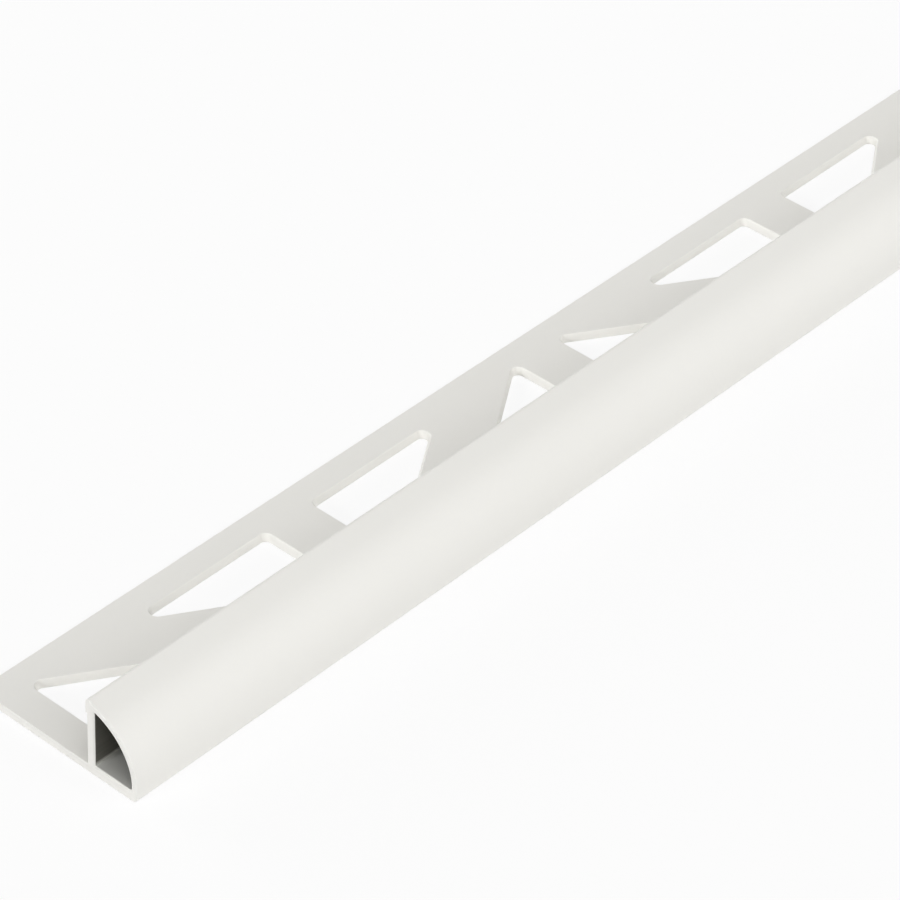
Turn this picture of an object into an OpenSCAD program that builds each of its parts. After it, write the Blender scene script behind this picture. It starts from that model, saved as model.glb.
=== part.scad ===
// Tile edge trim: one extruded bar of quarter-round section with a punched anchoring leg.
// The bar lies on its underside along X. The origin is at mid length on the underside, below the
// stop face that the tile meets. The leg runs to +Y, and the rounded front faces -Y.

/* [Bar] */
// Length of the bar
bar_l = 1000; // [300:50:3000]
// Height from the underside to the top of the nib
bar_h = 10; // [8:0.5:14]

/* [Anchoring leg] */
// Width of the leg, from the stop face to its outer edge
leg_w = 16.55; // [14:0.05:26]
// Thickness of the leg
leg_t = 1.05; // [0.8:0.05:1.5]

/* [Rounded front] */
// Distance from the stop face to the front
front_w = 7.15; // [6:0.05:9]
// Radius of the foot's lower front edge
foot_r = 0.6; // [0.1:0.05:0.8]
// Thickness of the rounded wall and of the foot
shell_t = 0.8; // [0.6:0.05:1.2]
// Thickness of the stop wall
wall_t = 1; // [0.7:0.05:1.5]
// Thickness of the floor under the hollow
floor_t = 1.3; // [0.8:0.05:1.8]
// Radius inside the hollow where the foot meets the floor
hollow_r = 0.3; // [0.1:0.05:0.6]
// Upright stretch of the foot inside the hollow, between that radius and the rounded face
foot_rise = 0.2; // [0.1:0.05:0.8]

/* [Nib] */
// How far the nib stands out behind the stop face
nib_out = 0.25; // [0.1:0.05:0.6]
// Radius of the nib's rounded top
nib_r = 0.4; // [0.3:0.05:0.6]
// Height of the nib's back
nib_h = 1.85; // [1.2:0.05:2.5]
// How far the nib rises above the end of the rounded face
nib_rise = 0.25; // [0.1:0.05:0.4]

/* [Punched openings] */
// Distance from the start of one punched panel to the next
panel_pitch = 43.1; // [40:0.1:50]
// Width of the cross bar left between two panels
web_w = 7.05; // [5:0.05:9]
// Width of the slanted strut across a panel
strut_w = 7.05; // [5:0.05:8]
// Short side of the trapezium
short_side = 4.7; // [3:0.1:8]
// Radius of the openings' corners
corner_r = 1; // [0.5:0.1:1.2]
// Land between the stop face and the openings
inner_land = 2.5; // [1.5:0.1:4]
// Land between the openings and the leg's outer edge
outer_land = 3.55; // [2.5:0.05:5]
// Land before the first opening at the near end
near_land = 4.15; // [2:0.05:20]

/* [Hidden] */
$fn = 96;

// Rounded face: upright where it leaves the foot, and nib_rise below the nib at the stop face
foot_h = floor_t + hollow_r + foot_rise;
arc_rise = bar_h - nib_rise - foot_h;
arc_r = (front_w * front_w + arc_rise * arc_rise) / (2 * front_w);
arc_centre = [arc_r - front_w, foot_h];
nib_centre = [nib_out - nib_r, bar_h - nib_r];

// Flat that leads from the rounded face to the nib, along the line that touches both arcs.
// nib_lean is the direction of its normal, and its ends lie flat_in inside the arcs.
flat_in = 0.002;
nib_offset = nib_centre - arc_centre;
nib_lean = atan2(nib_offset[1], nib_offset[0]) + acos((arc_r - nib_r) / norm(nib_offset));
lean = [cos(nib_lean), sin(nib_lean)];
flat_start = arc_centre + (arc_r - flat_in) * lean;
flat_end = nib_centre + (nib_r - flat_in) * lean;

// Panels: each holds a triangle, a slanted strut and a trapezium, and the last one leaves at
// least the leg's thickness of metal at the bar's end
panel_l = panel_pitch - web_w;
panel_in = inner_land;
panel_out = leg_w - outer_land;
panel_count = floor((bar_l - near_land - panel_l - leg_t) / panel_pitch) + 1;
punch_over = 1;

// Strut: its first edge is tangent to the triangle's rounded tip, and its second edge ends at the
// trapezium's short side. strut_run and strut_drop are the sides of the right triangle that these
// two conditions give, and the angle is measured from the length of the bar.
strut_run = panel_l - short_side - corner_r;
strut_drop = panel_out - panel_in - corner_r;
strut_angle = atan2(strut_drop, strut_run)
    + asin((strut_w + corner_r) / norm([strut_run, strut_drop]));
strut_step = strut_w / sin(strut_angle);
tip = [corner_r * (1 + sin(strut_angle)), panel_out - corner_r * (1 - cos(strut_angle))];
function strut_x(y) = tip[0] + (tip[1] - y) / tan(strut_angle);
function strut_y(x) = tip[1] - (x - tip[0]) * tan(strut_angle);

// For corner i of a convex outline: the centre of its arc, and the arc's two ends
function unit(v) = v / norm(v);
function toward(p, i, step) = unit(p[(i + step + len(p)) % len(p)] - p[i]);
function half_angle(p, i) = acos(toward(p, i, -1) * toward(p, i, 1)) / 2;
function arc_middle(p, i, r) =
    p[i] + unit(toward(p, i, -1) + toward(p, i, 1)) * r / sin(half_angle(p, i));
function arc_end(p, i, r, step) = p[i] + toward(p, i, step) * r / tan(half_angle(p, i));

// Convex outline with every corner rounded
module rounded(p, r) {
    polygon([for (i = [0 : len(p) - 1], step = [-1, 1]) arc_end(p, i, r, step)]);
    for (i = [0 : len(p) - 1])
        translate(arc_middle(p, i, r)) circle(r);
}

// Rectangle between two opposite corners
module span(low, high) {
    translate(low) square(high - low);
}

// Solid outline of the rounded front, from the foot to the stop face
module front_outline() {
    intersection() {
        translate(arc_centre) circle(arc_r);
        span([-front_w, foot_h], [0, bar_h]);
    }
    span([-front_w, foot_r], [0, foot_h]);
    span([foot_r - front_w, 0], [0, foot_h]);
    translate([foot_r - front_w, foot_r]) circle(foot_r);
}

// Hollow behind the rounded face
module hollow_outline() {
    front = shell_t - front_w;
    intersection() {
        translate(arc_centre) circle(arc_r - shell_t);
        span([-front_w, foot_h], [-wall_t, bar_h]);
    }
    span([front, floor_t + hollow_r], [-wall_t, foot_h]);
    span([front + hollow_r, floor_t], [-wall_t, foot_h]);
    translate([front + hollow_r, floor_t + hollow_r]) circle(hollow_r);
}

// Rounded nib along the top of the stop face, with the flat that joins it to the rounded face
module nib_outline() {
    translate(nib_centre) circle(nib_r);
    span([nib_out - 2 * nib_r, bar_h - nib_h], [nib_out, bar_h - nib_r]);
    polygon([[-wall_t / 2, bar_h - nib_h], nib_centre, flat_end, flat_start]);
}

// Section of the bar: Y to the right, Z up
module section() {
    difference() {
        union() {
            front_outline();
            nib_outline();
            span([-wall_t, 0], [leg_w, leg_t]);
        }
        hollow_outline();
    }
}

// Openings of one panel, with the triangle first
module panel_openings() {
    rounded([[0, panel_in], [strut_x(panel_in), panel_in], [0, strut_y(0)]], corner_r);
    rounded([
        [strut_x(panel_in) + strut_step, panel_in],
        [panel_l, panel_in],
        [panel_l, panel_out],
        [strut_x(panel_out) + strut_step, panel_out]
    ], corner_r);
}

// Openings along the whole leg: every second panel is turned end for end
module leg_openings() {
    for (i = [0 : panel_count - 1])
        translate([near_land + i * panel_pitch, 0])
            if (i % 2 == 0)
                panel_openings();
            else
                translate([panel_l, 0]) mirror([1, 0]) panel_openings();
}

module edge_trim() {
    color([0.92, 0.92, 0.9])
        translate([-bar_l / 2, 0, 0])
            difference() {
                rotate([90, 0, 90]) linear_extrude(bar_l) section();
                translate([0, 0, -punch_over])
                    linear_extrude(leg_t + 2 * punch_over) leg_openings();
            }
}

edge_trim();
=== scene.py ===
from math import acos, asin, atan2, cos, degrees, hypot, pi, radians, sin, tan

import bmesh
import bpy
from mathutils import Matrix, Vector


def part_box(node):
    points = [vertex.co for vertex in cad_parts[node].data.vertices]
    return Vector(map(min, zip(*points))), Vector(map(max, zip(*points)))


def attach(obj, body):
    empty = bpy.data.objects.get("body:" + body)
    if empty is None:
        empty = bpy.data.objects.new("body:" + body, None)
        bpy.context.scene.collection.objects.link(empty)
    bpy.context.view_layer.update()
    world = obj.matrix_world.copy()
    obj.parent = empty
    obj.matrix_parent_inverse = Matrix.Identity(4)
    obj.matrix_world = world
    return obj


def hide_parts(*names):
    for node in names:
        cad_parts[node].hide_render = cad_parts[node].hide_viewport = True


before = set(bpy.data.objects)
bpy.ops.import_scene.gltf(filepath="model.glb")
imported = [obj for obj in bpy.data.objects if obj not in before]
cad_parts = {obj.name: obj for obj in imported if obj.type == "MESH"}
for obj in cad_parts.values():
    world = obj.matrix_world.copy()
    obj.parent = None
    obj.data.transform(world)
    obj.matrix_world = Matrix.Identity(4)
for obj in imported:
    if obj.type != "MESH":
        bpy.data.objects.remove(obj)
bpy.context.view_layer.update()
trimLow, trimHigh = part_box("edge_trim")
print("frame loaded, bar is", [round(high - low, 5) for low, high in zip(trimLow, trimHigh)], "m")

mm = 0.001  # the bar is drawn in millimetres and scaled to metres at the end
samePlace = 0.001  # millimetres, points closer than this count as level


# shader helpers

class Value:
    # wraps one output socket, so that sums and products read as plain maths

    def __init__(self, finish, socket):
        self.finish = finish
        self.socket = socket

    def math(self, operation, first, second):
        return self.finish.node("Math", {"operation": operation}, {0: first, 1: second})

    def __add__(self, other):
        return self.math("ADD", self, other)

    def __radd__(self, other):
        return self.math("ADD", other, self)

    def __sub__(self, other):
        return self.math("SUBTRACT", self, other)

    def __rsub__(self, other):
        return self.math("SUBTRACT", other, self)

    def __mul__(self, other):
        return self.math("MULTIPLY", self, other)

    def __rmul__(self, other):
        return self.math("MULTIPLY", other, self)


class Finish:
    # a node tree, with one method that adds any node and short forms for those used often

    def __init__(self, tree):
        self.tree = tree
        self.tree.nodes.clear()

    def node(self, kind, settings=None, sockets=None, out=0):
        made = self.tree.nodes.new("ShaderNode" + kind)
        for name, value in (settings or {}).items():
            setattr(made, name, value)
        for name, value in (sockets or {}).items():
            if isinstance(value, Value):
                self.tree.links.new(value.socket, made.inputs[name])
            else:
                made.inputs[name].default_value = value
        return Value(self, made.outputs[out]) if made.outputs else made

    def noise(self, place, scale, detail):
        return self.node("TexNoise", sockets={"Vector": place, "Scale": scale, "Detail": detail})

    def blend(self, share, first, second):
        # a Mix node's colour sockets share their names with others, so they go by number
        return self.node("Mix", {"data_type": "RGBA"}, {0: share, 6: first, 7: second}, out=2)

    def bump(self, height, depth):
        return self.node("Bump", sockets={"Strength": 1, "Distance": depth, "Height": height})


def newFinish(name):
    material = bpy.data.materials.new(name)
    material.use_nodes = True
    return material, Finish(material.node_tree)


noiseMean = 0.5  # a noise texture swings about this value


# powder coat

coatLook = {
    "white": (0.84, 0.831, 0.795, 1),
    "thin": (0.815, 0.805, 0.768, 1),
    "roughness": 0.52,
    "cloudScale": 22,  # slow drift of the film's thickness, per metre
    "cloudDetail": 3,
    "cloudRough": 0.1,  # how far the drift moves the roughness
    "peelScale": 1500,  # orange peel, about 0.7 mm from crest to crest
    "peelDetail": 1.5,
    "peelRough": 0.05,
    "peelDepth": 0.000012,
}


def makeCoat(look):
    material, finish = newFinish("whitePowderCoat")
    place = finish.node("TexCoord", out="Object")
    cloud = finish.noise(place, look["cloudScale"], look["cloudDetail"])
    peel = finish.noise(place, look["peelScale"], look["peelDetail"])
    drift = look["cloudRough"] * (cloud - noiseMean) + look["peelRough"] * (peel - noiseMean)
    shader = finish.node("BsdfPrincipled", sockets={
        "Base Color": finish.blend(cloud, look["white"], look["thin"]),
        "Roughness": look["roughness"] + drift,
        "Normal": finish.bump(peel, look["peelDepth"]),
    })
    finish.node("OutputMaterial", sockets={"Surface": shader})
    return material


# bare aluminium inside the hollow

bareLook = {
    "bright": (0.18, 0.175, 0.15, 1),
    "dull": (0.11, 0.107, 0.09, 1),
    "metallic": 0.35,
    "roughness": 0.46,
    "dieLines": (6, 3200, 3200),  # per metre, drawn out along the bar
    "lineDetail": 4,
    "lineRough": 0.2,
    "lineDepth": 0.00001,
    "paintedLitFloor": (0.72, 0.72, 0.685, 1),  # painted light: the hollow's floor is painted paler, standing in for the light that reaches it through the mouth
    "litFloorFrom": 0.0018,  # heights between which the painted light on the floor sets in
    "dustTo": 0.0014,
}


def makeBare(look):
    material, finish = newFinish("bareAluminium")
    place = finish.node("TexCoord", out="Object")
    drawn = finish.node("Mapping", sockets={"Vector": place, "Scale": look["dieLines"]})
    lines = finish.noise(drawn, 1, look["lineDetail"])
    metal = finish.blend(lines, look["bright"], look["dull"])
    height = finish.node("SeparateXYZ", sockets={"Vector": place}, out="Z")
    # painted light: below these heights the floor takes the paler colour, in place of the light falling
    # on it
    dust = finish.node("MapRange", sockets={
        "Value": height,
        "From Min": look["litFloorFrom"],
        "From Max": look["dustTo"],
    })
    shader = finish.node("BsdfPrincipled", sockets={
        "Base Color": finish.blend(dust, metal, look["paintedLitFloor"]),
        "Metallic": look["metallic"],
        "Roughness": look["roughness"] + look["lineRough"] * (lines - noiseMean),
        "Normal": finish.bump(lines, look["lineDepth"]),
    })
    finish.node("OutputMaterial", sockets={"Surface": shader})
    return material


# the bar

barSizes = {
    "length": (trimHigh[0] - trimLow[0]) / mm,
    "height": (trimHigh[2] - trimLow[2]) / mm,
    "legWidth": trimHigh[1] / mm,
    "legThick": 1.05,
    "legEdge": 0.15,  # radius of the leg's long edges
    "seatFillet": 0.2,  # where the leg meets the stop wall
    "frontWidth": -trimLow[1] / mm,
    "footRadius": 0.6,
    "footRise": 0.2,  # upright stretch above the hollow's lower corner
    "shellThick": 0.8,
    "wallThick": 1,
    "floorThick": 1.3,
    "hollowRadius": 0.3,
    "nibOut": 0.25,
    "nibRadius": 0.4,
    "nibHeight": 1.85,
    "nibRise": 0.25,  # nib's top above the end of the rounded face
    "cutEdge": 0.06,  # radius left by the coat along the sawn ends
    "mouthEdge": 0.12,  # and round the hollow's mouth
    "edgeSteps": 3,
    "arcStep": 3,  # degrees of each step on the large arcs
    "smallStep": 15,  # on the small ones
    "nibStep": 7.5,  # and on the nib
    "sharpAngle": 40,  # degrees from which an edge is shaded as sharp
}

punchSizes = {
    "pitch": 43.1,
    "web": 7.05,
    "strut": 7.05,
    "shortSide": 4.7,  # of the trapezium
    "cornerRadius": 1,
    "innerLand": 2.5,
    "outerLand": 3.55,
    "nearLand": 4.15,
    "edgeRoll": 0.08,  # radius that the coat leaves on the upper edges
    "tornIn": 0.25,  # the torn upper part of the cut, wider at its top
    "tornDown": 0.42,
}


def only(kind, parts):
    return [part for part in parts if isinstance(part, kind)]


def liesAt(part, axis, level):
    return all(abs(getattr(vert.co, axis) - level) < samePlace for vert in part.verts)


def bearing(centre, point):
    return degrees(atan2(point[1] - centre[1], point[0] - centre[0]))


class Outline:
    # draws one closed run of edges by lines and spun arcs

    def __init__(self, bm, plane):
        self.bm = bm
        self.place, self.axis = plane
        self.before = set(bm.edges)
        self.first = None
        self.last = None

    def line(self, point):
        vert = self.bm.verts.new(self.place(point))
        if self.last:
            self.bm.edges.new((self.last, vert))
        else:
            self.first = vert
        self.last = vert

    def arc(self, centre, turn, step):
        spun = bmesh.ops.spin(
            self.bm, geom=[self.last], cent=self.place(centre), axis=self.axis, dvec=(0, 0, 0),
            angle=radians(turn), steps=max(1, round(abs(turn) / step)),
            use_merge=False, use_normal_flip=False, use_duplicate=False,
        )
        self.last = only(bmesh.types.BMVert, spun["geom_last"])[0]

    def close(self):
        self.bm.edges.new((self.last, self.first))
        return [edge for edge in self.bm.edges if edge not in self.before]


def roundedFace(bar):
    footHeight = bar["floorThick"] + bar["hollowRadius"] + bar["footRise"]
    rise = bar["height"] - bar["nibRise"] - footHeight
    radius = (bar["frontWidth"] ** 2 + rise ** 2) / (2 * bar["frontWidth"])
    return Vector((radius - bar["frontWidth"], footHeight)), radius


def drawSection(bm, bar, x):
    # Y runs to the leg and Z up, in the plane of the near end
    plane = (lambda point: Vector((x, point[0], point[1])), (1, 0, 0))
    face, radius = roundedFace(bar)
    nib = Vector((bar["nibOut"] - bar["nibRadius"], bar["height"] - bar["nibRadius"]))
    # a flat that touches both arcs leads from the rounded face to the nib
    lean = bearing(face, nib) + degrees(acos((radius - bar["nibRadius"]) / (nib - face).length))
    flatStart = face + radius * Vector((cos(radians(lean)), sin(radians(lean))))
    edge, fillet, foot = bar["legEdge"], bar["seatFillet"], bar["footRadius"]
    small = bar["smallStep"]

    outer = Outline(bm, plane)
    outer.line((bar["legWidth"] - edge, 0))
    outer.arc((bar["legWidth"] - edge, edge), 90, small)
    outer.line((bar["legWidth"], bar["legThick"] - edge))
    outer.arc((bar["legWidth"] - edge, bar["legThick"] - edge), 90, small)
    outer.line((fillet, bar["legThick"]))
    outer.arc((fillet, bar["legThick"] + fillet), -90, small)
    outer.line((0, bar["height"] - bar["nibHeight"]))
    outer.line((bar["nibOut"], bar["height"] - bar["nibHeight"]))
    outer.line((bar["nibOut"], nib.y))
    outer.arc(nib, lean, bar["nibStep"])
    outer.line(flatStart)
    outer.arc(face, 180 - lean, bar["arcStep"])
    outer.line((-bar["frontWidth"], foot))
    outer.arc((foot - bar["frontWidth"], foot), 90, small)
    rim = outer.close()

    inside = radius - bar["shellThick"]
    front = bar["shellThick"] - bar["frontWidth"]
    corner = bar["hollowRadius"]
    mouthTop = face.y + (inside ** 2 - (bar["wallThick"] + face.x) ** 2) ** 0.5
    hollow = Outline(bm, plane)
    hollow.line((-bar["wallThick"], bar["floorThick"]))
    hollow.line((-bar["wallThick"], mouthTop))
    hollow.arc(face, 180 - bearing(face, (-bar["wallThick"], mouthTop)), bar["arcStep"])
    hollow.line((front, bar["floorThick"] + corner))
    hollow.arc((front + corner, bar["floorThick"] + corner), 90, small)
    return rim + hollow.close()


def inHollow(point, bar):
    face, radius = roundedFace(bar)
    slack = 0.01
    return (
        point.y < slack - bar["wallThick"]
        and point.z > bar["floorThick"] - slack
        and hypot(point.y - face.x, max(point.z - face.y, 0)) < radius - bar["shellThick"] + slack
    )


def extrudeBar(bm, bar):
    cut = bar["cutEdge"]
    section = drawSection(bm, bar, cut - bar["length"] / 2)
    cap = bmesh.ops.triangle_fill(bm, use_beauty=True, use_dissolve=False, edges=section)["geom"]
    swept = bmesh.ops.extrude_face_region(bm, geom=only(bmesh.types.BMFace, cap))["geom"]
    bmesh.ops.translate(bm, verts=only(bmesh.types.BMVert, swept), vec=(bar["length"] - 2 * cut, 0, 0))
    bmesh.ops.recalc_face_normals(bm, faces=bm.faces)
    for face in bm.faces:
        isCap = abs(face.normal.x) > 0.5
        face.material_index = int(not isCap and inHollow(face.calc_center_median(), bar))


def roundOver(radius, steps):
    # a chain of insets: how far each step goes in, and how far down
    angles = [step * pi / 2 / steps for step in range(steps + 1)]
    for before, after in zip(angles, angles[1:]):
        yield radius * (sin(after) - sin(before)), radius * (cos(before) - cos(after))


def insetFaces(bm, faces, thickness, depth):
    bmesh.ops.inset_region(
        bm, faces=faces, thickness=thickness, depth=depth, use_boundary=True, use_even_offset=True,
    )


def punchOpening(bm, corners, bar, punch):
    plane = (lambda point: Vector((point[0], point[1], bar["legThick"])), (0, 0, 1))
    radius = punch["cornerRadius"]
    loop = Outline(bm, plane)
    for before, corner, after in zip(corners[-1:] + corners[:-1], corners, corners[1:] + corners[:1]):
        came = (corner - before).normalized()
        goes = (after - corner).normalized()
        turn = came.angle(goes)
        middle = corner + (goes - came).normalized() * radius / cos(turn / 2)
        loop.line(middle + Vector((came.y, -came.x)) * (radius + punch["edgeRoll"]))
        loop.arc(middle, degrees(turn), bar["smallStep"])
    face = bmesh.ops.edgeloop_fill(bm, edges=loop.close())["faces"][0]
    face.normal_update()
    if face.normal.z < 0:
        face.normal_flip()
    for thickness, depth in roundOver(punch["edgeRoll"], bar["edgeSteps"]):
        insetFaces(bm, [face], thickness, -depth)
    insetFaces(bm, [face], punch["tornIn"], -punch["tornDown"])
    rim = list(face.edges)
    bmesh.ops.delete(bm, geom=[face], context="FACES_ONLY")
    wall = only(bmesh.types.BMVert, bmesh.ops.extrude_edge_only(bm, edges=rim)["geom"])
    drop = bar["legThick"] - punch["edgeRoll"] - punch["tornDown"]
    bmesh.ops.translate(bm, verts=wall, vec=(0, 0, -drop))


def panelOpenings(bar, punch):
    # the strut's first edge touches the triangle's rounded tip, its second ends at the short side
    panel = punch["pitch"] - punch["web"]
    inner, outer = punch["innerLand"], bar["legWidth"] - punch["outerLand"]
    radius = punch["cornerRadius"]
    run = panel - punch["shortSide"] - radius
    fall = outer - inner - radius
    slant = atan2(fall, run) + asin((punch["strut"] + radius) / hypot(run, fall))
    step = punch["strut"] / sin(slant)
    tip = Vector((radius * (1 + sin(slant)), outer - radius * (1 - cos(slant))))
    foot = tip.x + (tip.y - inner) / tan(slant)
    head = tip.x + (tip.y - outer) / tan(slant)
    top = tip.y + tip.x * tan(slant)
    triangle = [(0, inner), (foot, inner), (0, top)]
    trapezium = [(foot + step, inner), (panel, inner), (panel, outer), (head + step, outer)]
    return panel, [[Vector(corner) for corner in shape] for shape in (triangle, trapezium)]


def punchLeg(bm, bar, punch):
    panel, shapes = panelOpenings(bar, punch)
    # the leg's upper face and the underside are opened, to be filled again round the openings
    levels = (0, bar["legThick"])
    flat = [face for face in bm.faces if any(liesAt(face, "z", level) for level in levels)]
    bmesh.ops.delete(bm, geom=flat, context="FACES_ONLY")
    # the land left at the far end is at least as wide as the leg is thick
    room = bar["length"] - punch["nearLand"] - panel - bar["legThick"]
    count = int(room // punch["pitch"]) + 1
    for index in range(count):
        start = Vector((punch["nearLand"] + index * punch["pitch"] - bar["length"] / 2, 0))
        for corners in shapes:
            if index % 2:  # every second panel is turned end for end
                corners = [Vector((panel - corner.x, corner.y)) for corner in reversed(corners)]
            punchOpening(bm, [start + corner for corner in corners], bar, punch)
    for level in levels:
        rims = [edge for edge in bm.edges if edge.is_boundary and liesAt(edge, "z", level)]
        bmesh.ops.triangle_fill(bm, use_beauty=True, use_dissolve=False, edges=rims)
    print("leg punched,", count, "panels")


def roundMouths(bm, bar):
    mouths = [
        edge for edge in bm.edges
        if sorted(face.material_index for face in edge.link_faces) == [0, 1]
        and liesAt(edge, "x", edge.verts[0].co.x)
    ]
    rounded = bmesh.ops.bevel(
        bm, geom=mouths, offset=bar["mouthEdge"], offset_type="OFFSET", affect="EDGES",
        segments=bar["edgeSteps"], profile=0.5, clamp_overlap=True, material=-1,
    )
    for face in rounded["faces"]:
        face.material_index = 0  # the coat reaches round the mouth


def roundCuts(bm, bar):
    reach = bar["length"] / 2 - bar["cutEdge"]
    for end in (-reach, reach):
        cap = [face for face in bm.faces if liesAt(face, "x", end)]
        for inward, outward in roundOver(bar["cutEdge"], bar["edgeSteps"]):
            insetFaces(bm, cap, outward, inward)  # starts along the bar's sides, so the two are swapped


def makeTrim(bar, punch):
    bm = bmesh.new()
    extrudeBar(bm, bar)
    punchLeg(bm, bar, punch)
    bmesh.ops.recalc_face_normals(bm, faces=bm.faces)
    roundMouths(bm, bar)
    roundCuts(bm, bar)
    bmesh.ops.recalc_face_normals(bm, faces=bm.faces)
    bmesh.ops.scale(bm, vec=(mm, mm, mm), verts=bm.verts)
    for face in bm.faces:
        face.smooth = True
    mesh = bpy.data.meshes.new("edgeTrim")
    bm.to_mesh(mesh)
    loose = sum(not edge.is_manifold for edge in bm.edges)
    print("bar has", len(bm.faces), "faces and", loose, "open edges")
    bm.free()
    mesh.set_sharp_from_angle(angle=radians(bar["sharpAngle"]))
    trim = bpy.data.objects.new("edgeTrim", mesh)
    bpy.context.scene.collection.objects.link(trim)
    even = trim.modifiers.new("evenNormals", "WEIGHTED_NORMAL")
    even.keep_sharp = True
    return trim


trim = makeTrim(barSizes, punchSizes)
trim.data.materials.append(makeCoat(coatLook))
trim.data.materials.append(makeBare(bareLook))
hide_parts("edge_trim")
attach(trim, "root")
print("bar made and coated")


# floor, light and camera

studioLook = {
    "floorSize": 40,  # metres
    "floorDrop": 0.0001,  # keeps the floor clear of the underside
    "floorColour": (0.95, 0.95, 0.95, 1),
    "floorShown": 0.85,  # share of plain white that the camera sees, the rest holds the shadow
    "skyColour": (1, 1, 1, 1),
    "skyStrength": 0.02,  # its light on the bar, while the camera sees it white
    # side is the bearing from +X towards +Y, rise the angle above the floor, spread the light's width
    "lights": {
        "topLight": {"side": 258, "rise": 60, "spread": 64, "strength": 1.99},
        "endLight": {"side": 168, "rise": 20, "spread": 12, "strength": 1.29},
        "backLight": {"side": 98, "rise": 12, "spread": 32, "strength": 1.2},
        "frontLight": {"side": 300, "rise": 18, "spread": 44, "strength": 0.82},
    },
}

cameraView = {
    "fromNearEnd": (-205.05, -216.62, 280.38),  # millimetres
    "heading": 39.695,  # degrees from +X towards +Y
    "down": 38.462,
    "roll": 3.144,
    "lens": 156.44,
    "sensor": 36,
    "clipStart": 0.01,
}


def shownRay(finish):
    # one for a ray that shows the floor or the sky, nought for one that only lights the bar
    rays = ("Is Camera Ray", "Is Glossy Ray", "Is Transmission Ray")
    camera, glossy, transmission = [finish.node("LightPath", out=ray) for ray in rays]
    return camera + glossy + transmission


def makeFloor(studio):
    bm = bmesh.new()
    bmesh.ops.create_grid(bm, x_segments=1, y_segments=1, size=studio["floorSize"] / 2)
    bmesh.ops.translate(bm, verts=bm.verts, vec=(0, 0, trimLow[2] - studio["floorDrop"]))
    mesh = bpy.data.meshes.new("floor")
    bm.to_mesh(mesh)
    bm.free()
    floor = bpy.data.objects.new("floor", mesh)
    bpy.context.scene.collection.objects.link(floor)
    material, finish = newFinish("whiteFloor")
    matt = finish.node("BsdfDiffuse", sockets={"Color": studio["floorColour"]})
    white = finish.node("Emission", sockets={"Strength": 1})
    shown = studio["floorShown"] * shownRay(finish)
    both = finish.node("MixShader", sockets={0: shown, 1: matt, 2: white})
    finish.node("OutputMaterial", sockets={"Surface": both})
    mesh.materials.append(material)


def makeSky(studio):
    world = bpy.data.worlds.new("studio")
    world.use_nodes = True
    bpy.context.scene.world = world
    finish = Finish(world.node_tree)
    strength = studio["skyStrength"] + (1 - studio["skyStrength"]) * shownRay(finish)
    sky = finish.node("Background", sockets={"Color": studio["skyColour"], "Strength": strength})
    finish.node("OutputWorld", sockets={"Surface": sky})


def makeSoftLight(name, light):
    lamp = bpy.data.lights.new(name, "SUN")
    lamp.angle = radians(light["spread"])
    lamp.energy = light["strength"]
    holder = bpy.data.objects.new(name, lamp)
    bpy.context.scene.collection.objects.link(holder)
    side, rise = radians(light["side"]), radians(light["rise"])
    toLight = Vector((cos(side) * cos(rise), sin(side) * cos(rise), sin(rise)))
    holder.rotation_euler = toLight.to_track_quat("Z", "Y").to_euler()


def makeCamera(view):
    data = bpy.data.cameras.new("camera")
    data.lens = view["lens"]
    data.sensor_width = view["sensor"]
    data.clip_start = view["clipStart"]
    camera = bpy.data.objects.new("camera", data)
    bpy.context.scene.collection.objects.link(camera)
    place = Vector((trimLow[0], 0, trimLow[2])) + Vector(view["fromNearEnd"]) * mm
    turn = Matrix.Rotation(radians(view["heading"] - 90), 4, "Z")
    tilt = Matrix.Rotation(radians(90 - view["down"]), 4, "X")
    roll = Matrix.Rotation(radians(view["roll"]), 4, "Z")
    camera.matrix_world = Matrix.Translation(place) @ turn @ tilt @ roll
    bpy.context.scene.camera = camera


makeFloor(studioLook)
makeSky(studioLook)
for lightName, light in studioLook["lights"].items():
    makeSoftLight(lightName, light)
makeCamera(cameraView)
bpy.context.scene.view_settings.view_transform = "Standard"
print("studio and camera set")
